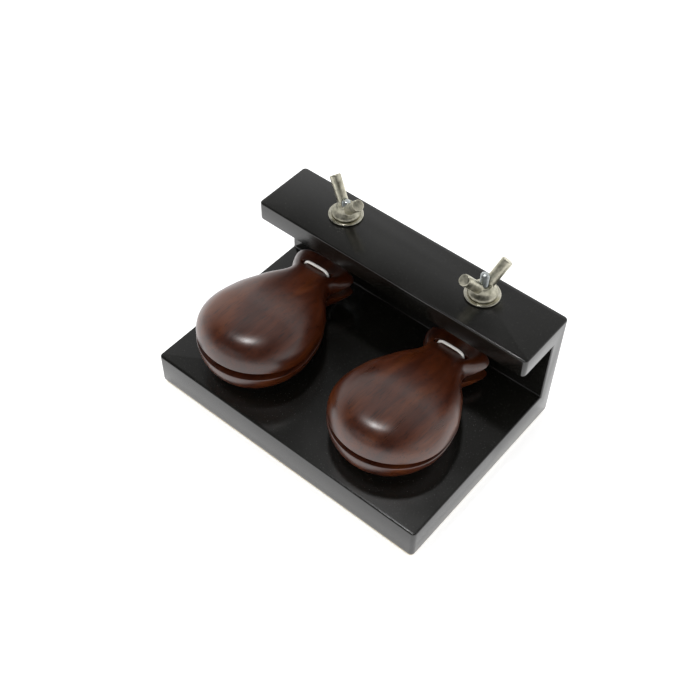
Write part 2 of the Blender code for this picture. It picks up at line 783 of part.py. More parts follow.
def wing_mesh(sign):
    """One round wing, from inside the hub to its flat end."""
    bm = bmesh.new()
    bmesh.ops.create_cone(
        bm,
        cap_ends=True,
        segments=18,
        radius1=WING_RADIUS,
        radius2=WING_RADIUS,
        depth=WING_LENGTH,
    )
    rim = [
        edge
        for edge in bm.edges
        if edge.verts[0].co.z > 0 and edge.verts[1].co.z > 0
    ]
    bmesh.ops.bevel(
        bm, geom=rim, offset=WING_END_ROUND, segments=2, profile=0.5, affect="EDGES"
    )
    bmesh.ops.translate(bm, vec=(0, 0, -WING_LENGTH / 2), verts=bm.verts)
    mesh = mesh_from("wing", bm)
    tip = Matrix.Translation((sign * WING_TIP_REACH, 0, WING_TIP_HEIGHT))
    mesh.transform(tip @ Matrix.Rotation(sign * WING_SPLAY, 4, "Y"))
    return mesh


def make_wing_nut(side, pair):
    """A nut with a flanged, tapered hub and two round wings that splay upwards."""
    flange_edge = NUT_FLANGE_HEIGHT * 0.3
    profile = [
        (0, NUT_HUB_HEIGHT),
        (NUT_HUB_TOP_RADIUS, NUT_HUB_HEIGHT),
        (NUT_HUB_TOP_RADIUS * 1.12, NUT_FLANGE_HEIGHT),
        (NUT_FLANGE_RADIUS - flange_edge, NUT_FLANGE_HEIGHT),
        (NUT_FLANGE_RADIUS, NUT_FLANGE_HEIGHT - flange_edge),
        (NUT_FLANGE_RADIUS, 0),
        (0, 0),
    ]
    nut = add_object(f"wing_nut_{side}", turned_mesh("hub", profile), NICKEL)
    cutters = []
    for label, sign in (("a", -1), ("b", 1)):
        wing = add_object(f"wing_{label}_{side}", wing_mesh(sign), collection=CUTTERS)
        boolean(nut, wing, "UNION")
        cutters.append(wing)
    bore = rod_mesh(
        "nut_bore", STUD_RADIUS + BOLT_CLEARANCE, -WING_LENGTH, WING_TIP_HEIGHT * 2, 20
    )
    hole = add_object(f"nut_bore_{side}", bore, collection=CUTTERS)
    boolean(nut, hole, "DIFFERENCE")
    cutters.append(hole)
    seat = RAIL_TOP + SEAT_GAP + WASHER_THICKNESS + SEAT_GAP
    place = Matrix.Translation((pair["bolt_x"], BOLT_Y, seat))
    place = place @ Matrix.Rotation(pair["nut_turn"], 4, "Z")
    for item in [nut] + cutters:
        item.matrix_world = place
    shade(nut)


def smooth_route(points, step):
    """Points about one step apart on a smooth closed curve through the given ones."""
    route = []
    count = len(points)
    for i in range(count):
        before, start, end, after = (points[(i + k) % count] for k in (-1, 0, 1, 2))
        parts = max(1, round((end - start).length / step))
        for part in range(parts):
            t = part / parts
            route.append(
                0.5
                * (
                    2 * start
                    + (end - before) * t
                    + (2 * before - 5 * start + 4 * end - after) * t**2
                    + (3 * start - before - 3 * end + after) * t**3
                )
            )
    return route


def cord_points(pair):
    """The cord's route: over the neck, down through both ears, behind and up to the eye."""
    upper, lower = pair_frames(pair)
    radius = CORD_DIAMETER / 2
    over = between(crown_heights(), FULCRUM_TO_HOLES) + radius + SEAT_GAP
    under = EAR_HEIGHT + 0.5 * (NECK_HEIGHT - EAR_HEIGHT) + radius + SEAT_GAP
    x, y = HOLE_HALF_SPREAD, FULCRUM_TO_HOLES
    tail = FULCRUM_TO_TAIL + CORD_DIAMETER + SEAT_GAP
    eye = Vector((pair["bolt_x"], BOLT_Y, pair["stud_top"] - EYE_BOLT_LENGTH))
    foot = eye.z - EYE_RADIUS
    beside = EYE_WIRE_RADIUS + 1.75 * radius

    def strand(sign):
        return [
            upper @ Vector((sign * x * 0.45, y, over + radius * 0.7)),
            upper @ Vector((sign * (x - 1.6 * radius), y, over + radius * 0.3)),
            upper @ Vector((sign * x, y, over - 2.2 * radius)),
            upper @ Vector((sign * x, y, over * 0.62)),
            lower @ Vector((sign * x, y, -under * 0.35)),
            lower @ Vector((sign * x, y, -under * 0.7)),
            lower @ Vector((sign * x, y + radius * 0.3, -under - radius)),
            lower @ Vector((sign * x * 0.9, y + 4 * radius, -under - 1.8 * radius)),
            lower @ Vector((sign * x * 0.7, tail - 1.5 * radius, -under - 0.8 * radius)),
            lower @ Vector((sign * x * 0.55, tail + radius, -under + 3 * radius)),
        ]

    left, right = strand(-1), strand(1)
    around = [
        Vector((eye.x - 2.2 * radius, eye.y - beside - radius, foot - 2 * radius)),
        Vector((eye.x - 1.4 * radius, eye.y - beside, foot + 0.6 * radius)),
        Vector((eye.x, eye.y, foot + beside)),
        Vector((eye.x + 1.4 * radius, eye.y + beside, foot)),
        Vector((eye.x + 2.4 * radius, eye.y + 0.6 * radius, foot - beside - radius)),
    ]
    return left + around + list(reversed(right))


def make_cord(side, pair):
    curve = bpy.data.curves.new("cord", "CURVE")
    curve.dimensions = "3D"
    curve.bevel_depth = CORD_DIAMETER / 2
    curve.bevel_resolution = 2
    route = smooth_route(cord_points(pair), CORD_POINT_STEP)
    spline = curve.splines.new("POLY")
    spline.points.add(len(route) - 1)
    for point, place in zip(spline.points, route):
        point.co = (*place, 1)
    spline.use_cyclic_u = True
    item = bpy.data.objects.new("cord_curve", curve)
    CUTTERS.objects.link(item)
    cord = add_object(f"elastic_cord_{side}", evaluated_mesh("cord", item), WHITE_CORD)
    shade(cord, 60)


make_stand()
make_pad()
make_wall_screws()
make_rail_dowels()
UPPER_MESH = finished_shell_mesh("upper_shell", screwed=False)
LOWER_MESH = finished_shell_mesh("lower_shell", screwed=True)
SCREW_PLACES = shell_screw_places()
for SIDE, PAIR in PAIRS.items():
    make_shells(SIDE, PAIR, UPPER_MESH, LOWER_MESH)
    make_spacer(SIDE, SCREW_PLACES[SIDE])
    make_shell_screw(SIDE, SCREW_PLACES[SIDE])
    make_washer(SIDE, PAIR)
    make_eye_bolt(SIDE, PAIR)
    make_wing_nut(SIDE, PAIR)
    make_cord(SIDE, PAIR)
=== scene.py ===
"""Table castanets, dressed for the camera: lacquered stand, rosewood shells, cords, hardware."""

import math

import bmesh
import bpy
import numpy as np
from mathutils import Matrix, Vector


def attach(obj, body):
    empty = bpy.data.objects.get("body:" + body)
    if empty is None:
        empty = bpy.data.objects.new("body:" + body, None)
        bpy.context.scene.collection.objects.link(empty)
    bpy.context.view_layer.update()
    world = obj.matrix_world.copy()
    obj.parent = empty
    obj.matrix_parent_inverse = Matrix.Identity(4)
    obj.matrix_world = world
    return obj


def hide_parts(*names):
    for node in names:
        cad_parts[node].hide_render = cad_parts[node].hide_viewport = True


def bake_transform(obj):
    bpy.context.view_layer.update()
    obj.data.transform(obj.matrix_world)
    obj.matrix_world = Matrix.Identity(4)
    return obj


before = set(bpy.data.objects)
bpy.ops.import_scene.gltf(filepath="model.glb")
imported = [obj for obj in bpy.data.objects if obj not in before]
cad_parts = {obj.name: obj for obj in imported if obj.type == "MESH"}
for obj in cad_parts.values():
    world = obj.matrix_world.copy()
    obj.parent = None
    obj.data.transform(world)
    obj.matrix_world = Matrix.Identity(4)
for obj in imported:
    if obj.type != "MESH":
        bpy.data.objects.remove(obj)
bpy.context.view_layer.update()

MM = 0.001
TURN = 2 * math.pi

# Stand
STAND_WIDTH = 182 * MM
STAND_DEPTH = 127 * MM
PAD_THICKNESS = 2.2 * MM
PAD_INSET = 0.8 * MM
PAD_EDGE_RADIUS = 0.35 * MM
BASE_THICKNESS = 20 * MM
CLEAR_HEIGHT = 43.9 * MM
RAIL_THICKNESS = 12.2 * MM
RAIL_DEPTH = 39.9 * MM
WALL_THICKNESS = 11.6 * MM
CORNER_RADIUS = 2.6 * MM
EDGE_RADIUS = 0.9 * MM
SEAT_GAP = 0.3 * MM
BASE_TOP = PAD_THICKNESS + BASE_THICKNESS
RAIL_BOTTOM = BASE_TOP + CLEAR_HEIGHT
RAIL_TOP = RAIL_BOTTOM + RAIL_THICKNESS
BOLT_Y = STAND_DEPTH / 2 - WALL_THICKNESS - 4.3 * MM
BOLT_HALF_SPACING = 46.75 * MM

# Shells, measured from the fulcrum along their middle
SHELL_HALF_WIDTH = 33.9 * MM
FRONT_LENGTH = 32.6 * MM
WIDEST_TO_NECK = 46.2 * MM
NECK_HALF_WIDTH = 14.2 * MM
EAR_LENGTH = 14.5 * MM
EAR_HALF_WIDTH = 20.5 * MM
TAIL_LENGTH = 5.8 * MM
SHELL_HEIGHT = 16.9 * MM
NECK_HEIGHT = 11.6 * MM
EAR_HEIGHT = 9.2 * MM
NECK_Y = 8.3 * MM
WIDEST_Y = NECK_Y - WIDEST_TO_NECK
TIP_Y = NECK_Y + EAR_LENGTH
HOLE_Y = NECK_Y + 6.6 * MM
HOLE_X = 8.8 * MM
EAR_BEVEL = math.radians(11.6)
BOWL = (25 * MM, 24 * MM, 9.8 * MM)
SPACER_THICKNESS = 1.3 * MM
RIM_SOFTNESS = 0.6 * MM

# Tension gear and fastenings
CORD_RADIUS = 0.8 * MM
CORD_HOLE_RADIUS = 1.5 * MM
HOLE_RIM_RADIUS = 2.3 * MM
HOLE_RIM_DEPTH = 1.1 * MM
STUD_RADIUS = 2.45 * MM
BORE_RADIUS = 2.8 * MM
THREAD_PITCH = 0.8 * MM
THREAD_DEPTH = 0.46 * MM
ROWS_PER_PITCH = 11
STUD_CHAMFER = 0.75 * MM
EYE_BOLT_LENGTH = 36.4 * MM
EYE_RADIUS = 5 * MM
EYE_WIRE_RADIUS = 1.9 * MM
WASHER_RADIUS = 10 * MM
WASHER_THICKNESS = 1.2 * MM
WASHER_CHAMFER = 0.25 * MM
SHELL_SCREW_BORE_RADIUS = 2.2 * MM
SHELL_SCREW_SEAT_RADIUS = 4 * MM
SHELL_SCREW_SEAT_SINK = 0.8 * MM
CUTTER_REACH = 20 * MM
SPACER_RADIUS = 8 * MM
WING_HALF_SPREAD = 14 * MM
WING_LENGTH = 17 * MM
WING_SPLAY = math.radians(42)
WING_RADII = (3.1 * MM, 3.3 * MM)
CASTING_VOXEL = 0.27 * MM
BRAID_DEPTH = 0.045
BRAID_PHASE_PER_M = 4200
CORD_STEP = 0.22 * MM

# The hub of a wing nut, as (radius, height) from its top down to the foot of its skirt
HUB_PROFILE_MM = [(0, 6.2), (4.5, 6.2), (5.8, 3.4), (8, 1.6), (8.3, 0.9), (8.3, 0), (0, 0)]

# Edges bent by more than this many degrees stay sharp
EDGE_SHARPNESS = 38
HARDWARE_SHARPNESS = 60
CORD_SHARPNESS = 80

# How square a shell's crown is across and along its middle, and what its front end and its
# slab-like neck add to that
ACROSS_EXPONENT, ALONG_EXPONENT = 2.9, 2.0
FRONT_SQUARENESS = (2.1, 0.4)
NECK_SQUARENESS = (3.1, 0.8)

# The powers of cosine and sine in the ears' rounded end
TAIL_EXPONENTS = (0.42, 0.8)

# Room, lamps and camera
FLOOR_SIZE = 3.0
FLOOR_GLOW = 0.4
ROOM_LIGHT = 1.0
WALLS_IN_GLOSS = 0.9
CEILING_IN_GLOSS = 0.03
GLOSS_FADE = (0.25, 0.75)
GLOSS_LEAN = -0.4
LAMP_TARGET = (0, 0, 0.04)
LAMPS = [
    # name, direction it shines from, distance, size, power
    ("key", (-0.15, 0.09, 0.984), 1.6, (0.15, 0.11), 7.5),
    ("front_fill", (-0.1, -0.85, 0.4), 1.5, (1.2, 0.6), 1.1),
    ("side_fill", (0.85, 0.1, 0.4), 1.5, (0.9, 0.6), 0.6),
]
CAMERA_AZIMUTH, CAMERA_ELEVATION, CAMERA_ROLL = (
    math.radians(degrees) for degrees in (38.273, 50.134, 1.643)
)
CAMERA_PLACE = (0.24444, -0.3143, 0.51642)
LENS_MM, SENSOR_MM = 58.135, 36

SIDES = {
    "left": {
        "neck": (-50 * MM, BOLT_Y - 28.6 * MM),
        "yaw": math.radians(2.4),
        "pitch": math.radians(0.8),
        "mouth": math.radians(3.9),
        "bolt_x": -BOLT_HALF_SPACING,
        "stud_top": RAIL_TOP + 10.6 * MM,
        "nut_turn": math.radians(-23),
    },
    "right": {
        "neck": (43.2 * MM, BOLT_Y - 25.9 * MM),
        "yaw": math.radians(0.7),
        "pitch": math.radians(3.0),
        "mouth": math.radians(2.6),
        "bolt_x": BOLT_HALF_SPACING,
        "stud_top": RAIL_TOP + 15.8 * MM,
        "nut_turn": math.radians(71),
    },
}


# Helpers for meshes


def new_object(name, mesh):
    """An object of that mesh at the origin, in the scene."""
    item = bpy.data.objects.new(name, mesh)
    bpy.context.scene.collection.objects.link(item)
    return item


def mesh_of(name, points, faces):
    """A closed mesh from arrays of points and faces, its normals outwards."""
    mesh = bpy.data.meshes.new(name)
    mesh.from_pydata(np.asarray(points, float).tolist(), [], faces)
    bm = bmesh.new()
    bm.from_mesh(mesh)
    bmesh.ops.remove_doubles(bm, verts=bm.verts, dist=0.000004)
    bmesh.ops.dissolve_degenerate(bm, dist=0.000002, edges=bm.edges)
    bmesh.ops.recalc_face_normals(bm, faces=bm.faces)
    bm.to_mesh(mesh)
    bm.free()
    return mesh


def grid_faces(rows, columns, wrap_rows=False):
    """Quads between neighbouring points of a grid listed row by row, each row closed round."""
    row = np.arange(rows if wrap_rows else rows - 1)
    column = np.arange(columns)
    i, j = np.meshgrid(row, column, indexing="ij")
    k, m = (i + 1) % rows, (j + 1) % columns
    quads = np.stack([i * columns + j, i * columns + m, k * columns + m, k * columns + j], -1)
    return quads.reshape(-1, 4).tolist()


def turned(name, profile, sides=96):
    """Each (radius, height) of the profile goes once round Z: (r cos a, r sin a, h)."""
    profile = np.asarray(profile, float)
    angle = np.arange(sides) * TURN / sides
    radius, height = profile[:, 0][:, None], profile[:, 1][:, None]
    points = np.stack(
        [radius * np.cos(angle), radius * np.sin(angle), height + 0 * angle], -1
    ).reshape(-1, 3)
    return mesh_of(name, points, grid_faces(len(profile), sides, wrap_rows=True))


def rounded(corners, radius, steps=5):
    """A closed profile with each corner replaced by an arc of a parabola of that reach."""
    corners = np.asarray(corners, float)
    before, after = np.roll(corners, 1, 0), np.roll(corners, -1, 0)
    into = before - corners
    out = after - corners
    into_length = np.linalg.norm(into, axis=1, keepdims=True)
    out_length = np.linalg.norm(out, axis=1, keepdims=True)
    reach = np.minimum(radius, np.minimum(into_length, out_length) * 0.45)
    start = corners + into / into_length * reach
    end = corners + out / out_length * reach
    t = np.linspace(0, 1, steps)[None, :, None]
    arc = (1 - t) ** 2 * start[:, None] + 2 * t * (1 - t) * corners[:, None] + t**2 * end[:, None]
    return arc.reshape(-1, 2)


def baked(item, name):
    """The object's mesh as its modifiers leave it; the object is removed."""
    graph = bpy.context.evaluated_depsgraph_get()
    mesh = bpy.data.meshes.new_from_object(item.evaluated_get(graph))
    mesh.name = name
    bpy.data.objects.remove(item, do_unlink=True)
    return mesh


def cut(mesh, cutters, name):
    """The mesh less its cutters, which are used up."""
    item = new_object(name, mesh)
    tools = [new_object(f"{name}_cutter_{i}", cutter) for i, cutter in enumerate(cutters)]
    for tool in tools:
        modifier = item.modifiers.new("Cut", "BOOLEAN")
        modifier.operation = "DIFFERENCE"
        modifier.solver = "EXACT"
        modifier.object = tool
    mesh = baked(item, name)
    for tool in tools:
        bpy.data.objects.remove(tool, do_unlink=True)
    return mesh


def rod(name, radius, low, high, sides=48):
    """A plain cylinder round Z."""
    return turned(name, [(0, high), (radius, high), (radius, low), (0, low)], sides)


def piece(name, mesh, material, body, nodes, angle=EDGE_SHARPNESS):
    """A finished piece: its material, its shading, the body it rides on, what it stands for."""
    item = new_object(name, mesh)
    mesh.materials.clear()
    mesh.materials.append(material)
    mesh.shade_smooth()
    mesh.set_sharp_from_angle(angle=math.radians(angle))
    if body is not None:
        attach(item, body)
    if nodes:
        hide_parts(*nodes)
    return item


# Helpers for materials


class Paint:
    """A Principled material and short ways to add nodes to it."""

    def __init__(self, name, roughness, metallic=0.0):
        self.material = bpy.data.materials.new(name)
        self.material.use_nodes = True
        self.nodes = self.material.node_tree.nodes
        self.links = self.material.node_tree.links
        self.shader = self.nodes["Principled BSDF"]
        self.shader.inputs["Base Color"].default_value = (0.5, 0.5, 0.5, 1)
        self.shader.inputs["Roughness"].default_value = roughness
        self.shader.inputs["Metallic"].default_value = metallic
        self.place = self.nodes.new("ShaderNodeTexCoord").outputs["Object"]

    def spread(self, scale=(1, 1, 1), turn=(0, 0, 0), shift=(0, 0, 0)):
        mapping = self.nodes.new("ShaderNodeMapping")
        mapping.inputs["Scale"].default_value = scale
        mapping.inputs["Rotation"].default_value = turn
        mapping.inputs["Location"].default_value = shift
        self.links.new(self.place, mapping.inputs["Vector"])
        return mapping.outputs["Vector"]

    def noise(self, vector, scale, detail=4.0, rough=0.55, distortion=0.0):
        node = self.nodes.new("ShaderNodeTexNoise")
        node.inputs["Scale"].default_value = scale
        node.inputs["Detail"].default_value = detail
        node.inputs["Roughness"].default_value = rough
        node.inputs["Distortion"].default_value = distortion
        self.links.new(vector, node.inputs["Vector"])
        return node.outputs["Fac"]

    def ramp(self, factor, stops):
        node = self.nodes.new("ShaderNodeValToRGB")
        elements = node.color_ramp.elements
        while len(elements) < len(stops):
            elements.new(0.5)
        for element, (position, colour) in zip(elements, stops):
            element.position = position
            element.color = (*colour, 1)
        self.links.new(factor, node.inputs["Fac"])
        return node.outputs["Color"]

    def mix(self, factor, first, second, kind):
        node = self.nodes.new("ShaderNodeMix")
        node.data_type = "RGBA"
        node.blend_type = kind
        node.inputs["Factor"].default_value = factor
        self.links.new(first, node.inputs[6])
        self.links.new(second, node.inputs[7])
        return node.outputs[2]

    def between(self, factor, low, high, start=0.0, end=1.0):
        node = self.nodes.new("ShaderNodeMapRange")
        node.inputs["From Min"].default_value = start
        node.inputs["From Max"].default_value = end
        node.inputs["To Min"].default_value = low
        node.inputs["To Max"].default_value = high
        self.links.new(factor, node.inputs["Value"])
        return node.outputs["Result"]

    def colour(self, output):
        self.links.new(output, self.shader.inputs["Base Color"])

    def roughness(self, output):
        self.links.new(output, self.shader.inputs["Roughness"])

    def bump(self, height, strength, distance):
        node = self.nodes.new("ShaderNodeBump")
        node.inputs["Strength"].default_value = strength
        node.inputs["Distance"].default_value = distance
        self.links.new(height, node.inputs["Height"])
        self.links.new(node.outputs["Normal"], self.shader.inputs["Normal"])


def rosewood(name, shift, yaw):
    """Dark satin rosewood: long streaks along the shell, fine pores and a faint open grain."""
    paint = Paint(name, 0.34)
    long_way = paint.spread((1, 0.14, 1), (0, 0, -yaw), shift)
    streaks = paint.noise(long_way, 150, 5, 0.6, 0.8)
    bands = paint.noise(long_way, 42, 3, 0.5, 1.4)
    body = paint.ramp(
        bands,
        [
            (0.3, (0.028, 0.0044, 0.0006)),
            (0.52, (0.058, 0.0105, 0.001)),
            (0.72, (0.098, 0.022, 0.0018)),
        ],
    )
    fine = paint.ramp(streaks, [(0.32, (0.45, 0.42, 0.42)), (0.6, (1, 1, 1))])
    pores = paint.noise(paint.spread((1, 0.045, 1), (0, 0, -yaw), shift), 1500, 2, 0.5)
    specks = paint.ramp(pores, [(0.34, (0.35, 0.33, 0.33)), (0.44, (1, 1, 1))])
    paint.colour(paint.mix(0.75, paint.mix(0.8, body, fine, "MULTIPLY"), specks, "MULTIPLY"))
    paint.roughness(paint.between(streaks, 0.27, 0.35, 0.3, 0.7))
    paint.bump(pores, 0.12, 0.00008)
    paint.shader.inputs["Specular IOR Level"].default_value = 0.75
    return paint.material


def black_lacquer():
    """Satin black lacquer on wood: a faint brushed ripple, dust specks and dulled patches."""
    paint = Paint("black_lacquer_satin", 0.22)
    patches = paint.noise(paint.spread(), 26, 3, 0.5)
    ripple = paint.noise(paint.spread((0.22, 1, 1)), 700, 3, 0.55)
    specks = paint.noise(paint.spread(), 1700, 1, 0.4)
    tone = paint.ramp(patches, [(0.3, (0.0032, 0.0031, 0.0024)), (0.7, (0.005, 0.0048, 0.0038))])
    dust = paint.ramp(specks, [(0.7, (0, 0, 0)), (0.78, (0.05, 0.05, 0.048))])
    paint.colour(paint.mix(1.0, tone, dust, "ADD"))
    paint.roughness(paint.between(patches, 0.18, 0.24, 0.3, 0.7))
    paint.bump(ripple, 0.1, 0.00006)
    paint.shader.inputs["Specular IOR Level"].default_value = 0.68
    return paint.material


def cream_foam():
    """Cream foam sheet: small open cells with painted shade in them, and soft yellowed patches."""
    paint = Paint("cream_foam", 0.85)
    cells = paint.noise(paint.spread(), 2300, 2, 0.6)
    patches = paint.noise(paint.spread(), 40, 3, 0.5)
    tone = paint.ramp(patches, [(0.3, (0.66, 0.57, 0.42)), (0.7, (0.76, 0.7, 0.57))])
    # Painted shade: the cream is darkened where the cells are, standing in for shade inside them
    shade = paint.ramp(cells, [(0.3, (0.78, 0.76, 0.72)), (0.55, (1, 1, 1))])
    paint.colour(paint.mix(0.8, tone, shade, "MULTIPLY"))
    paint.bump(cells, 0.35, 0.0002)
    return paint.material


def plated(name, dark, light, roughness, scratches):
    """Plated steel: cloudy tone, fine scratches and a little unevenness in its gloss."""
    paint = Paint(name, roughness, 1.0)
    clouds = paint.noise(paint.spread(), 320, 4, 0.6)
    marks = paint.noise(paint.spread((1, 1, 0.12), (0.5, 0.3, 0.7)), 2600, 2, 0.5)
    paint.colour(paint.ramp(clouds, [(0.3, dark), (0.68, light)]))
    paint.roughness(paint.between(clouds, roughness * 0.8, roughness * 1.35, 0.3, 0.7))
    paint.bump(marks, scratches, 0.00005)
    return paint.material


def braided_white(name):
    """White braided elastic: the braid is in the mesh, the fibres are in the bump."""
    paint = Paint(name, 0.75)
    fibres = paint.noise(paint.spread(), 5200, 2, 0.6)
    paint.colour(paint.ramp(fibres, [(0.3, (0.88, 0.84, 0.78)), (0.6, (0.97, 0.95, 0.91))]))
    paint.bump(fibres, 0.25, 0.00006)
    paint.shader.inputs["Sheen Weight"].default_value = 0.2
    return paint.material


def black_felt():
    """Black felt: coarse fibres, almost no gloss."""
    paint = Paint("black_felt", 0.95)
    fibres = paint.noise(paint.spread(), 2600, 3, 0.7)
    paint.colour(paint.ramp(fibres, [(0.3, (0.012, 0.012, 0.012)), (0.7, (0.05, 0.05, 0.048))]))
    paint.bump(fibres, 0.5, 0.0002)
    paint.shader.inputs["Specular IOR Level"].default_value = 0.1
    return paint.material


def plain_beech():
    """Plain beech for the dowels, its grain running up them."""
    paint = Paint("plain_beech", 0.6)
    grain = paint.noise(paint.spread((1, 1, 0.1)), 500, 3, 0.5)
    paint.colour(paint.ramp(grain, [(0.3, (0.45, 0.28, 0.15)), (0.7, (0.62, 0.44, 0.27))]))
    paint.bump(grain, 0.2, 0.0001)
    return paint.material


# Stand


def slab_mesh(name, outline, half_width, corner_test, edge_radius, segments=4):
    """A prism along X over an outline of (y, z), its upright corners and edges rounded."""
    count = len(outline)
    flat = np.asarray(outline, float)
    ends = [np.column_stack([np.full(count, x), flat]) for x in (-half_width, half_width)]
    faces = [list(range(count)), list(range(2 * count - 1, count - 1, -1))]
    faces += [[i, (i + 1) % count, count + (i + 1) % count, count + i] for i in range(count)]
    mesh = mesh_of(name, np.vstack(ends), faces)
    bm = bmesh.new()
    bm.from_mesh(mesh)
    upright = [
        edge
        for edge in bm.edges
        if (edge.verts[0].co.xy - edge.verts[1].co.xy).length < 0.00001
        and corner_test(edge.verts[0].co)
    ]
    bmesh.ops.bevel(
        bm, geom=upright, offset=CORNER_RADIUS, segments=8, profile=0.5, affect="EDGES"
    )
    bmesh.ops.recalc_face_normals(bm, faces=bm.faces)
    bm.to_mesh(mesh)
    bm.free()
    item = new_object(name, mesh)
    rounding = item.modifiers.new("Edges", "BEVEL")
    rounding.width = edge_radius
    rounding.segments = segments
    rounding.limit_method = "ANGLE"
    rounding.angle_limit = math.radians(50)
    return baked(item, name)


def stand_mesh():
    """Base, wall and rail as one lacquered profile, bored for the two studs."""
    front, rear = -STAND_DEPTH / 2, STAND_DEPTH / 2
    inner = rear - WALL_THICKNESS
    rail_front = rear - RAIL_DEPTH
    outline = [
        (front, PAD_THICKNESS),
        (rear, PAD_THICKNESS),
        (rear, RAIL_TOP),
        (rail_front, RAIL_TOP),
        (rail_front, RAIL_BOTTOM),
        (inner, RAIL_BOTTOM),
        (inner, BASE_TOP),
        (front, BASE_TOP),
    ]
    mesh = slab_mesh(
        "lacquered_stand",
        outline,
        STAND_WIDTH / 2,
        lambda corner: abs(corner.y - inner) > 0.00001,
        EDGE_RADIUS,
    )
    holes = []
    for side in SIDES.values():
        hole = rod("bolt_hole", BORE_RADIUS, RAIL_BOTTOM - 2 * MM, RAIL_TOP + 2 * MM)
        hole.transform(Matrix.Translation((side["bolt_x"], BOLT_Y, 0)))
        holes.append(hole)
    return cut(mesh, holes, "lacquered_stand")


def pad_mesh():
    """The foam sheet under the base, a little inside its outline."""
    y = STAND_DEPTH / 2 - PAD_INSET
    top = PAD_THICKNESS - SEAT_GAP
    outline = [(-y, 0), (y, 0), (y, top), (-y, top)]
    half_width = STAND_WIDTH / 2 - PAD_INSET
    return slab_mesh("foam_sheet", outline, half_width, lambda corner: True, PAD_EDGE_RADIUS, 3)


# Shells


def through(stations, y):
    """Cubic pieces through (y, value) stations, with harmonic slopes so nothing overshoots."""
    stations = np.asarray(stations, float)
    ys, values = stations[:, 0], stations[:, 1]
    spans = np.diff(ys)
    slopes = np.diff(values) / spans
    tangents = np.zeros(len(ys))
    before, after = slopes[:-1], slopes[1:]
    same = before * after > 0
    total = np.where(same, before + after, 1)
    tangents[1:-1] = np.where(same, 2 * before * after / total, 0)
    i = np.clip(np.searchsorted(ys, y, side="right") - 1, 0, len(spans) - 1)
    t = np.clip((y - ys[i]) / spans[i], 0, 1)
    return (
        (2 * t**3 - 3 * t**2 + 1) * values[i]
        + (t**3 - 2 * t**2 + t) * tangents[i] * spans[i]
        + (3 * t**2 - 2 * t**3) * values[i + 1]
        + (t**3 - t**2) * tangents[i + 1] * spans[i]
    )


SWELL = SHELL_HALF_WIDTH - NECK_HALF_WIDTH
WIDTHS = [
    (WIDEST_Y, SHELL_HALF_WIDTH),
    (WIDEST_Y + WIDEST_TO_NECK * 0.33, SHELL_HALF_WIDTH - SWELL * 0.11),
    (WIDEST_Y + WIDEST_TO_NECK * 0.66, SHELL_HALF_WIDTH - SWELL * 0.475),
    (NECK_Y, NECK_HALF_WIDTH),
    (NECK_Y + EAR_LENGTH * 0.5, NECK_HALF_WIDTH * 0.42 + EAR_HALF_WIDTH * 0.58),
    (TIP_Y, EAR_HALF_WIDTH),
]
CROWN = [
    (WIDEST_Y, SHELL_HEIGHT),
    (WIDEST_Y + WIDEST_TO_NECK * 0.45, SHELL_HEIGHT * 0.6 + NECK_HEIGHT * 0.4),
    (NECK_Y, NECK_HEIGHT),
    (TIP_Y, EAR_HEIGHT),
    (TIP_Y + TAIL_LENGTH, EAR_HEIGHT),
]


def half_outline():
    """Columns x, y, spine y and the two crown exponents, from the front end to the tail."""
    turn = np.linspace(0, math.pi / 2, 56, endpoint=False)
    soft = np.cos(turn) ** 2
    front = np.column_stack(
        [
            SHELL_HALF_WIDTH * np.sin(turn),
            WIDEST_Y - FRONT_LENGTH * np.cos(turn),
            np.full_like(turn, WIDEST_Y),
            ACROSS_EXPONENT + FRONT_SQUARENESS[0] * soft,
            ALONG_EXPONENT + FRONT_SQUARENESS[1] * soft,
        ]
    )
    y = np.linspace(WIDEST_Y, TIP_Y, 110, endpoint=False)
    slab = np.clip((y - WIDEST_Y) / WIDEST_TO_NECK, 0, 1) ** 4
    across = ACROSS_EXPONENT + NECK_SQUARENESS[0] * slab
    along = ALONG_EXPONENT + NECK_SQUARENESS[1] * slab
    side = np.column_stack([through(WIDTHS, y), y, y, across, along])
    turn = np.linspace(0, math.pi / 2, 26)
    tail = np.column_stack(
        [
            EAR_HALF_WIDTH * np.clip(np.cos(turn), 0, 1) ** TAIL_EXPONENTS[0],
            TIP_Y + TAIL_LENGTH * np.sin(turn) ** TAIL_EXPONENTS[1],
            np.full_like(turn, TIP_Y),
            np.full_like(turn, ACROSS_EXPONENT + NECK_SQUARENESS[0]),
            np.full_like(turn, ALONG_EXPONENT + NECK_SQUARENESS[1]),
        ]
    )
    return np.vstack([front, side, tail])


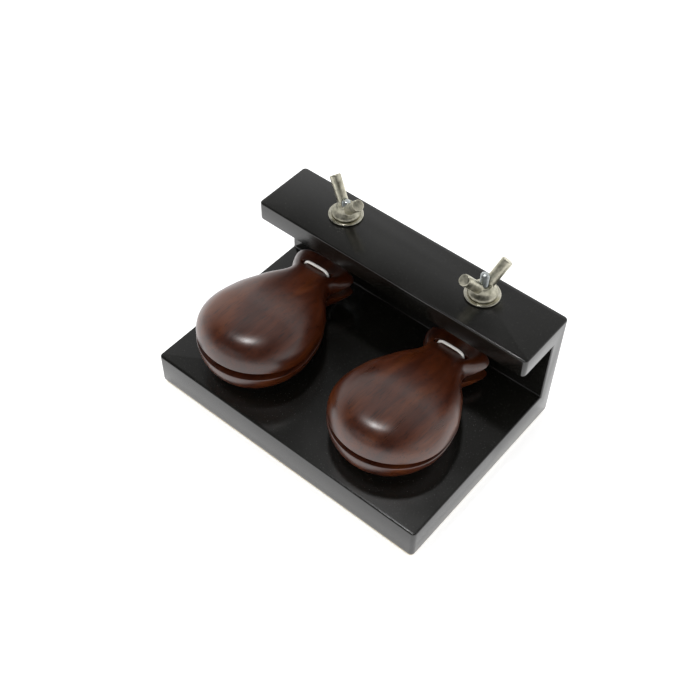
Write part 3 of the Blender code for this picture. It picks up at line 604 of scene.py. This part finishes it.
def shell_blank(name):
    """Rings of the outline that rise to the spine.

    At lift a, a point lies at spine + (outline - spine) cos(a)^(2/p), at height H sin(a)^(2/q).
    """
    half = half_outline()
    mirrored = half[-2:0:-1] * np.array([-1, 1, 1, 1, 1])
    ring = np.vstack([half, mirrored])
    x, y, spine, across, along = (ring[:, i] for i in range(5))
    height = through(CROWN, spine)
    lift = (math.pi / 2 * np.linspace(0, 1, 36) ** 1.25)[:, None]
    reach = np.clip(np.cos(lift), 0, 1) ** (2 / across)
    rise = np.sin(lift) ** (2 / along)
    points = np.stack([x * reach, spine + (y - spine) * reach, height * rise], -1)
    length = np.hypot(x, y - spine)
    inset = 1 - RIM_SOFTNESS / np.maximum(length, RIM_SOFTNESS * 4)
    # The rim is softened: a foot drawn inwards, a ring halfway, and low rings held above them
    points[0, :, 2] = RIM_SOFTNESS
    points[1:3, :, 2] = np.maximum(points[1:3, :, 2], RIM_SOFTNESS * np.array([[1.25], [1.6]]))
    foot = np.stack([x * inset, spine + (y - spine) * inset, 0 * x], -1)
    halfway = 0.3 * inset + 0.7
    middle = np.stack(
        [x * halfway, spine + (y - spine) * halfway, 0 * x + 0.3 * RIM_SOFTNESS], -1
    )
    points = np.concatenate([foot[None], middle[None], points])
    rows, columns = points.shape[:2]
    faces = grid_faces(rows, columns) + [list(range(columns))]
    return mesh_of(name, points.reshape(-1, 3), faces)


def ball(name, radii, centre):
    """An ellipsoid: each direction on the sphere scaled by the three radii."""
    polar = np.linspace(0, math.pi, 49)[:, None]
    around = (np.arange(96) * TURN / 96)[None]
    points = np.stack(
        [
            centre[0] + radii[0] * np.sin(polar) * np.cos(around),
            centre[1] + radii[1] * np.sin(polar) * np.sin(around),
            centre[2] + radii[2] * np.cos(polar) + 0 * around,
        ],
        -1,
    )
    return mesh_of(name, points.reshape(-1, 3), grid_faces(49, 96))


def shell_mesh(name, screwed):
    """A shell with its bowl, its bevelled ears, its cord holes and, if screwed, a screw's hole."""
    cutters = [ball("bowl", BOWL, (0, WIDEST_Y, 0))]
    reach = 2.5 * CUTTER_REACH
    block = mesh_of(
        "ear_bevel",
        [(x, y, z) for x in (-reach, reach) for y in (0, reach) for z in (-reach, 0)],
        [[0, 1, 3, 2], [4, 6, 7, 5], [0, 4, 5, 1], [2, 3, 7, 6], [0, 2, 6, 4], [1, 5, 7, 3]],
    )
    block.transform(Matrix.Rotation(EAR_BEVEL, 4, "X"))
    cutters.append(block)
    crown = float(through(CROWN, np.array([HOLE_Y]))[0]) - 0.1 * MM
    for x in (-HOLE_X, HOLE_X):
        hole = turned(
            "cord_hole",
            [
                (0, CUTTER_REACH),
                (HOLE_RIM_RADIUS, CUTTER_REACH),
                (HOLE_RIM_RADIUS, crown),
                (CORD_HOLE_RADIUS, crown - HOLE_RIM_DEPTH),
                (CORD_HOLE_RADIUS, -CUTTER_REACH),
                (0, -CUTTER_REACH),
            ],
            40,
        )
        hole.transform(Matrix.Translation((x, HOLE_Y, 0)))
        cutters.append(hole)
    if screwed:
        seat = BOWL[2] + SHELL_SCREW_SEAT_SINK
        bore, wide = SHELL_SCREW_BORE_RADIUS, SHELL_SCREW_SEAT_RADIUS
        hole = turned(
            "screw_hole",
            [
                (0, 1.5 * CUTTER_REACH),
                (bore, 1.5 * CUTTER_REACH),
                (bore, seat),
                (wide, seat),
                (wide, -SEAT_GAP),
                (0, -SEAT_GAP),
            ],
            48,
        )
        hole.transform(Matrix.Translation((0, WIDEST_Y, 0)))
        cutters.append(hole)
    return cut(shell_blank(name), cutters, name)


def shell_frames(side):
    """The upper and lower shells' places, with their origins on the fulcrum."""
    turn = Matrix.Rotation(side["yaw"], 4, "Z")
    low = BASE_TOP + SPACER_THICKNESS + 2 * SEAT_GAP
    low += SHELL_HEIGHT * math.cos(side["pitch"]) + WIDEST_Y * math.sin(side["pitch"])
    back = turn @ Vector((0, -NECK_Y, 0))
    place = Vector((side["neck"][0] + back.x, side["neck"][1] + back.y, low))
    lower = Matrix.Translation(place) @ turn @ Matrix.Rotation(-side["pitch"], 4, "X")
    tilt = side["pitch"] + side["mouth"]
    upper = Matrix.Translation(place + Vector((0, 0, SEAT_GAP))) @ turn
    return upper @ Matrix.Rotation(-tilt, 4, "X"), lower


# Cords


def cord_route(side):
    """The elastic's way over the neck, through the ears, behind the tails and into the eye.

    Three lists of points: down one side, round the eye's foot, and up the other side.
    """
    upper, lower = shell_frames(side)
    r = CORD_RADIUS
    over = float(through(CROWN, np.array([HOLE_Y]))[0]) + r + SEAT_GAP
    under = EAR_HEIGHT + 0.5 * (NECK_HEIGHT - EAR_HEIGHT) + r + SEAT_GAP
    x, y = HOLE_X, HOLE_Y
    tail = TIP_Y + TAIL_LENGTH + 2 * r + SEAT_GAP
    eye = Vector((side["bolt_x"], BOLT_Y, side["stud_top"] - EYE_BOLT_LENGTH))
    foot = eye.z - EYE_RADIUS
    beside = EYE_WIRE_RADIUS + 1.75 * r

    def strand(sign):
        return [
            upper @ Vector((sign * x * 0.36, y, over + r * 0.35)),
            upper @ Vector((sign * (x - 3 * r), y, over - r * 0.3)),
            upper @ Vector((sign * (x - 1.1 * r), y, over - 2.4 * r)),
            upper @ Vector((sign * (x - 0.5 * r), y, over * 0.55)),
            lower @ Vector((sign * x, y, -under * 0.35)),
            lower @ Vector((sign * x, y, -under * 0.7)),
            lower @ Vector((sign * x, y + r * 0.3, -under - r)),
            lower @ Vector((sign * x * 0.9, y + 4 * r, -under - 1.8 * r)),
            lower @ Vector((sign * x * 0.7, tail - 1.5 * r, -under - 0.8 * r)),
            lower @ Vector((sign * x * 0.55, tail + r, -under + 3 * r)),
        ]

    around = [
        Vector((eye.x - 2.2 * r, eye.y - beside - r, foot - 2 * r)),
        Vector((eye.x - 1.4 * r, eye.y - beside, foot + 0.6 * r)),
        Vector((eye.x, eye.y, foot + beside)),
        Vector((eye.x + 1.4 * r, eye.y + beside, foot)),
        Vector((eye.x + 2.4 * r, eye.y + 0.6 * r, foot - beside - r)),
    ]
    return strand(-1), around, list(reversed(strand(1)))


def smooth_line(points, first, last, step):
    """Catmull-Rom curve through a closed list of points, from number first to number last."""
    count = len(points)
    points = np.array([tuple(p) for p in points])
    pieces = []
    for i in range(first, last):
        a, b, c, d = (points[(i + k) % count] for k in (-1, 0, 1, 2))
        parts = max(2, round(float(np.linalg.norm(c - b)) / step))
        t = (np.arange(parts) / parts)[:, None]
        square = (2 * a - 5 * b + 4 * c - d) * t**2
        cube = (3 * b - a - 3 * c + d) * t**3
        pieces.append(0.5 * (2 * b + (c - a) * t + square + cube))
    pieces.append(points[last % count][None])
    return np.vstack(pieces)


def braided_tube(name, line, sides=28):
    """A closed tube along a line: r(1 + d cos(7a + ks) cos(7a - ks)) at angle a, length s."""
    steps = np.linalg.norm(np.diff(line, axis=0), axis=1)
    along = np.concatenate([[0], np.cumsum(steps)])[:, None]
    tangent = np.gradient(line, axis=0)
    tangent /= np.linalg.norm(tangent, axis=1, keepdims=True)
    normal = np.zeros_like(tangent)
    guide = np.cross(tangent[0], (0.31, 0.9, 0.27))
    for i, direction in enumerate(tangent):
        guide = guide - direction * np.dot(guide, direction)
        guide /= np.linalg.norm(guide)
        normal[i] = guide
    other = np.cross(tangent, normal)
    angle = (np.arange(sides) * TURN / sides)[None]
    phase = along * BRAID_PHASE_PER_M
    weave = np.cos(7 * angle + phase) * np.cos(7 * angle - phase)
    radius = (CORD_RADIUS * (1 + BRAID_DEPTH * weave))[..., None]
    ring = normal[:, None] * np.cos(angle)[..., None] + other[:, None] * np.sin(angle)[..., None]
    points = line[:, None] + ring * radius
    rows = len(line)
    faces = grid_faces(rows, sides)
    faces += [list(range(sides)), list(range((rows - 1) * sides, rows * sides))]
    return mesh_of(name, points.reshape(-1, 3), faces)


# Hardware


def threaded_stud(name, low, high):
    """A stud whose radius falls by a rounded triangle wave of the thread's phase h/p - a/turn."""
    sides = 44
    rows = int((high - low) / THREAD_PITCH * ROWS_PER_PITCH)
    height = np.linspace(low, high, rows)[:, None]
    angle = (np.arange(sides) * TURN / sides)[None]
    phase = (height / THREAD_PITCH - angle / TURN) % 1
    wave = np.clip(np.abs(phase - 0.5) * 2 * 1.18 - 0.09, 0, 1)
    radius = STUD_RADIUS - THREAD_DEPTH * wave
    chamfer = STUD_RADIUS - STUD_CHAMFER + np.minimum(high - height, height - low)
    radius = np.minimum(radius, chamfer)
    points = np.stack([radius * np.cos(angle), radius * np.sin(angle), height + 0 * angle], -1)
    faces = grid_faces(rows, sides)
    faces += [list(range(sides)), list(range((rows - 1) * sides, rows * sides))]
    return mesh_of(name, points.reshape(-1, 3), faces)


def eye_ring(name):
    """A ring in the XZ plane: a circle of the wire's radius carried round the eye's radius."""
    around = (np.arange(96) * TURN / 96)[:, None]
    angle = (np.arange(28) * TURN / 28)[None]
    reach = EYE_RADIUS + EYE_WIRE_RADIUS * np.cos(angle)
    side = EYE_WIRE_RADIUS * np.sin(angle) + 0 * around
    points = np.stack([reach * np.cos(around), side, reach * np.sin(around)], -1)
    return mesh_of(name, points.reshape(-1, 3), grid_faces(96, 28, wrap_rows=True))


def wing_nut_mesh(name):
    """Hub and wings melted together like a casting, then bored."""
    parts = turned("hub", rounded(HUB_PROFILE_MM, 0.4) * MM)
    bm = bmesh.new()
    bm.from_mesh(parts)
    for sign in (-1, 1):
        root, tip = WING_RADII
        rod_profile = [(0, 0), (tip, 0), (root, -WING_LENGTH), (0, -WING_LENGTH)]
        wing = turned("wing", rounded(rod_profile, 0.5 * MM), 64)
        place = Matrix.Translation((sign * WING_HALF_SPREAD, 0, WING_LENGTH))
        wing.transform(place @ Matrix.Rotation(sign * WING_SPLAY, 4, "Y"))
        bm.from_mesh(wing)
    joined = bpy.data.meshes.new(name)
    bm.to_mesh(joined)
    bm.free()
    item = new_object(name, joined)
    melt = item.modifiers.new("Melt", "REMESH")
    melt.mode = "VOXEL"
    melt.voxel_size = CASTING_VOXEL
    smooth = item.modifiers.new("Soften", "SMOOTH")
    smooth.factor = 0.5
    smooth.iterations = 7
    mesh = baked(item, name)
    mesh = cut(mesh, [rod("bore", BORE_RADIUS, -0.01, 0.04)], name)
    low = min(v.co.z for v in mesh.vertices)
    mesh.transform(Matrix.Translation((0, 0, -low)))
    return mesh


def washer_mesh(name):
    """A flat ring with its upper outer edge taken off."""
    inner, outer, top = BORE_RADIUS, WASHER_RADIUS, WASHER_THICKNESS
    profile = [
        (inner, top),
        (outer - WASHER_CHAMFER, top),
        (outer, top - WASHER_CHAMFER),
        (outer, 0),
        (inner, 0),
    ]
    return turned(name, rounded(profile, 0.22 * MM), 128)


# The pieces

LACQUER = black_lacquer()
FOAM = cream_foam()
NICKEL = plated("nickel_cast", (0.3, 0.29, 0.22), (0.74, 0.71, 0.58), 0.38, 0.12)
WASHER_METAL = plated("nickel_sheet", (0.5, 0.48, 0.38), (0.84, 0.81, 0.69), 0.18, 0.08)
ZINC = plated("zinc_bright", (0.36, 0.39, 0.39), (0.66, 0.7, 0.7), 0.34, 0.08)
CORD_WHITE = braided_white("elastic_white")
FELT = black_felt()
BEECH = plain_beech()

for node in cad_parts:
    paint = None
    if node.startswith(("wall_screw", "shell_screw")):
        paint = ZINC
    elif node.startswith("rail_dowel"):
        paint = BEECH
    if paint is not None:
        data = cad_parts[node].data
        data.materials.clear()
        data.materials.append(paint)

piece(
    "lacquered_stand",
    stand_mesh(),
    LACQUER,
    "stand",
    ["base_board", "rear_wall", "top_rail"],
)
piece("foam_sheet", pad_mesh(), FOAM, "stand", ["non_slip_pad"])

UPPER_SHELL = shell_mesh("upper_shell", False)
LOWER_SHELL = shell_mesh("lower_shell", True)
FLIP = Matrix.Rotation(math.pi, 4, "Y")
STUD_SEAT = RAIL_TOP + 2 * SEAT_GAP + WASHER_THICKNESS

for number, (name, side) in enumerate(SIDES.items()):
    upper, lower = shell_frames(side)
    # Each shell's wood comes from another part of the plank
    for label, mesh, place, body in (
        ("upper", UPPER_SHELL.copy(), upper, f"upper_{name}"),
        ("lower", LOWER_SHELL.copy(), lower @ FLIP, "stand"),
    ):
        mesh.transform(place)
        shift = (0.013 * number + (0.031 if label == "upper" else 0), 0.07 * number, 0.01)
        wood = rosewood(f"rosewood_{label}_{name}", shift, side["yaw"])
        piece(f"{label}_castanet_{name}", mesh, wood, body, [f"{label}_shell_{name}"])

    low_place = lower @ Vector((0, WIDEST_Y, -SHELL_HEIGHT))
    bore, top = SHELL_SCREW_BORE_RADIUS, SPACER_THICKNESS
    ring_profile = [(bore, top), (SPACER_RADIUS, top), (SPACER_RADIUS, 0), (bore, 0)]
    spacer = turned("felt_ring", rounded(ring_profile, 0.35 * MM))
    spacer.transform(Matrix.Translation((low_place.x, low_place.y, BASE_TOP + SEAT_GAP)))
    piece(f"felt_ring_{name}", spacer, FELT, "stand", [f"shell_spacer_{name}"])

    washer = washer_mesh(f"flat_washer_{name}")
    bolt = Vector((side["bolt_x"], BOLT_Y, 0))
    washer.transform(Matrix.Translation(bolt + Vector((0, 0, RAIL_TOP + SEAT_GAP))))
    piece(f"flat_washer_{name}", washer, WASHER_METAL, "stand", [f"washer_{name}"])

    nut = wing_nut_mesh(f"cast_wing_nut_{name}")
    seat = Matrix.Translation(bolt + Vector((0, 0, STUD_SEAT)))
    nut.transform(seat @ Matrix.Rotation(side["nut_turn"], 4, "Z"))
    piece(
        f"cast_wing_nut_{name}",
        nut,
        NICKEL,
        f"nut_{name}",
        [f"wing_nut_{name}"],
        HARDWARE_SHARPNESS,
    )

    eye_z = side["stud_top"] - EYE_BOLT_LENGTH
    stud = threaded_stud(f"threaded_stud_{name}", EYE_RADIUS, EYE_BOLT_LENGTH)
    stud.transform(Matrix.Translation(bolt + Vector((0, 0, eye_z))))
    piece(
        f"threaded_stud_{name}",
        stud,
        ZINC,
        f"bolt_{name}",
        [f"eye_bolt_{name}"],
        HARDWARE_SHARPNESS,
    )
    ring = eye_ring(f"stud_eye_{name}")
    ring.transform(Matrix.Translation(bolt + Vector((0, 0, eye_z))))
    piece(f"stud_eye_{name}", ring, ZINC, f"bolt_{name}", [])

    first, around, last = cord_route(side)
    route = last + first + around
    ear_end = len(last) + len(first) - 1
    ears = braided_tube(
        f"elastic_over_neck_{name}", smooth_line(route, 0, ear_end, CORD_STEP)
    )
    loop = braided_tube(
        f"elastic_to_eye_{name}", smooth_line(route, ear_end, len(route), CORD_STEP)
    )
    cord = piece(
        f"elastic_over_neck_{name}",
        ears,
        CORD_WHITE,
        None,
        [f"elastic_cord_{name}"],
        CORD_SHARPNESS,
    )
    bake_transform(cord)
    tie = piece(
        f"elastic_to_eye_{name}", loop, CORD_WHITE, None, [], CORD_SHARPNESS
    )
    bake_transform(tie)


# Floor, light and camera


def light_ray(nodes, links, outputs):
    """1 where a ray is of one of the kinds named, else 0."""
    path = nodes.new("ShaderNodeLightPath")
    total = path.outputs[outputs[0]]
    for name in outputs[1:]:
        add = nodes.new("ShaderNodeMath")
        add.operation = "MAXIMUM"
        links.new(total, add.inputs[0])
        links.new(path.outputs[name], add.inputs[1])
        total = add.outputs[0]
    return total


def white_floor():
    """A pale floor that keeps the shadow: a matt white with a little glow of its own."""
    material = bpy.data.materials.new("white_floor")
    material.use_nodes = True
    nodes, links = material.node_tree.nodes, material.node_tree.links
    shader = nodes["Principled BSDF"]
    shader.inputs["Base Color"].default_value = (0.93, 0.93, 0.93, 1)
    shader.inputs["Roughness"].default_value = 0.9
    shader.inputs["Specular IOR Level"].default_value = 0.1
    shader.inputs["Emission Color"].default_value = (1, 1, 1, 1)
    seen = light_ray(nodes, links, ["Is Camera Ray", "Is Glossy Ray"])
    glow = nodes.new("ShaderNodeMath")
    glow.operation = "MULTIPLY"
    glow.inputs[1].default_value = FLOOR_GLOW
    links.new(seen, glow.inputs[0])
    links.new(glow.outputs[0], shader.inputs["Emission Strength"])
    return material


def white_world():
    """White to the camera. In gloss its walls are bright and its ceiling is dark, and the
    dark part leans to the front."""
    world = bpy.data.worlds.new("white_room")
    bpy.context.scene.world = world
    world.use_nodes = True
    nodes, links = world.node_tree.nodes, world.node_tree.links
    background = nodes["Background"]
    background.inputs["Color"].default_value = (1, 1, 1, 1)
    path = nodes.new("ShaderNodeLightPath")
    place = nodes.new("ShaderNodeTexCoord")
    parts = nodes.new("ShaderNodeSeparateXYZ")
    links.new(place.outputs["Generated"], parts.inputs["Vector"])
    lean = nodes.new("ShaderNodeMath")
    lean.operation = "MULTIPLY_ADD"
    lean.inputs[1].default_value = GLOSS_LEAN
    links.new(parts.outputs["Y"], lean.inputs[0])
    links.new(parts.outputs["Z"], lean.inputs[2])
    fade = nodes.new("ShaderNodeMapRange")
    fade.interpolation_type = "SMOOTHSTEP"
    fade.inputs["From Min"].default_value = GLOSS_FADE[0]
    fade.inputs["From Max"].default_value = GLOSS_FADE[1]
    fade.inputs["To Min"].default_value = WALLS_IN_GLOSS
    fade.inputs["To Max"].default_value = CEILING_IN_GLOSS
    links.new(lean.outputs[0], fade.inputs["Value"])
    mirrored = nodes.new("ShaderNodeMapRange")
    mirrored.inputs["To Min"].default_value = ROOM_LIGHT
    links.new(path.outputs["Is Glossy Ray"], mirrored.inputs["Value"])
    links.new(fade.outputs["Result"], mirrored.inputs["To Max"])
    level = nodes.new("ShaderNodeMapRange")
    level.inputs["To Max"].default_value = 1.0
    links.new(mirrored.outputs["Result"], level.inputs["To Min"])
    links.new(path.outputs["Is Camera Ray"], level.inputs["Value"])
    links.new(level.outputs["Result"], background.inputs["Strength"])


def soft_box(name, direction, distance, size, power):
    """A rectangular lamp that looks at the middle of the object."""
    data = bpy.data.lights.new(name, "AREA")
    data.shape = "RECTANGLE"
    data.size, data.size_y = size
    data.energy = power
    lamp = bpy.data.objects.new(name, data)
    bpy.context.scene.collection.objects.link(lamp)
    direction = Vector(direction).normalized()
    target = Vector(LAMP_TARGET)
    lamp.location = target + direction * distance
    lamp.rotation_euler = direction.to_track_quat("Z", "Y").to_euler()


floor = new_object(
    "floor",
    mesh_of(
        "floor",
        [(x, y, -0.0002) for x, y in ((-1, -1), (1, -1), (1, 1), (-1, 1))],
        [[0, 1, 2, 3]],
    ),
)
floor.data.transform(Matrix.Diagonal((FLOOR_SIZE, FLOOR_SIZE, 1, 1)))
floor.data.materials.append(white_floor())
white_world()
for lamp in LAMPS:
    soft_box(*lamp)


def place_camera():
    """The camera at the solved azimuth, elevation, roll and place."""
    azimuth, elevation, roll = CAMERA_AZIMUTH, CAMERA_ELEVATION, CAMERA_ROLL
    back = Vector(
        (
            math.sin(azimuth) * math.cos(elevation),
            -math.cos(azimuth) * math.cos(elevation),
            math.sin(elevation),
        )
    )
    right = (-back).cross(Vector((0, 0, 1))).normalized()
    up = right.cross(-back)
    right_rolled = math.cos(roll) * right + math.sin(roll) * up
    up_rolled = -math.sin(roll) * right + math.cos(roll) * up
    data = bpy.data.cameras.new("camera")
    data.lens = LENS_MM
    data.sensor_width = SENSOR_MM
    data.clip_start = 0.01
    camera = bpy.data.objects.new("camera", data)
    bpy.context.scene.collection.objects.link(camera)
    turn = Matrix((right_rolled, up_rolled, back)).transposed().to_4x4()
    camera.matrix_world = Matrix.Translation(CAMERA_PLACE) @ turn
    bpy.context.scene.camera = camera


place_camera()
bpy.context.scene.view_settings.view_transform = "Standard"
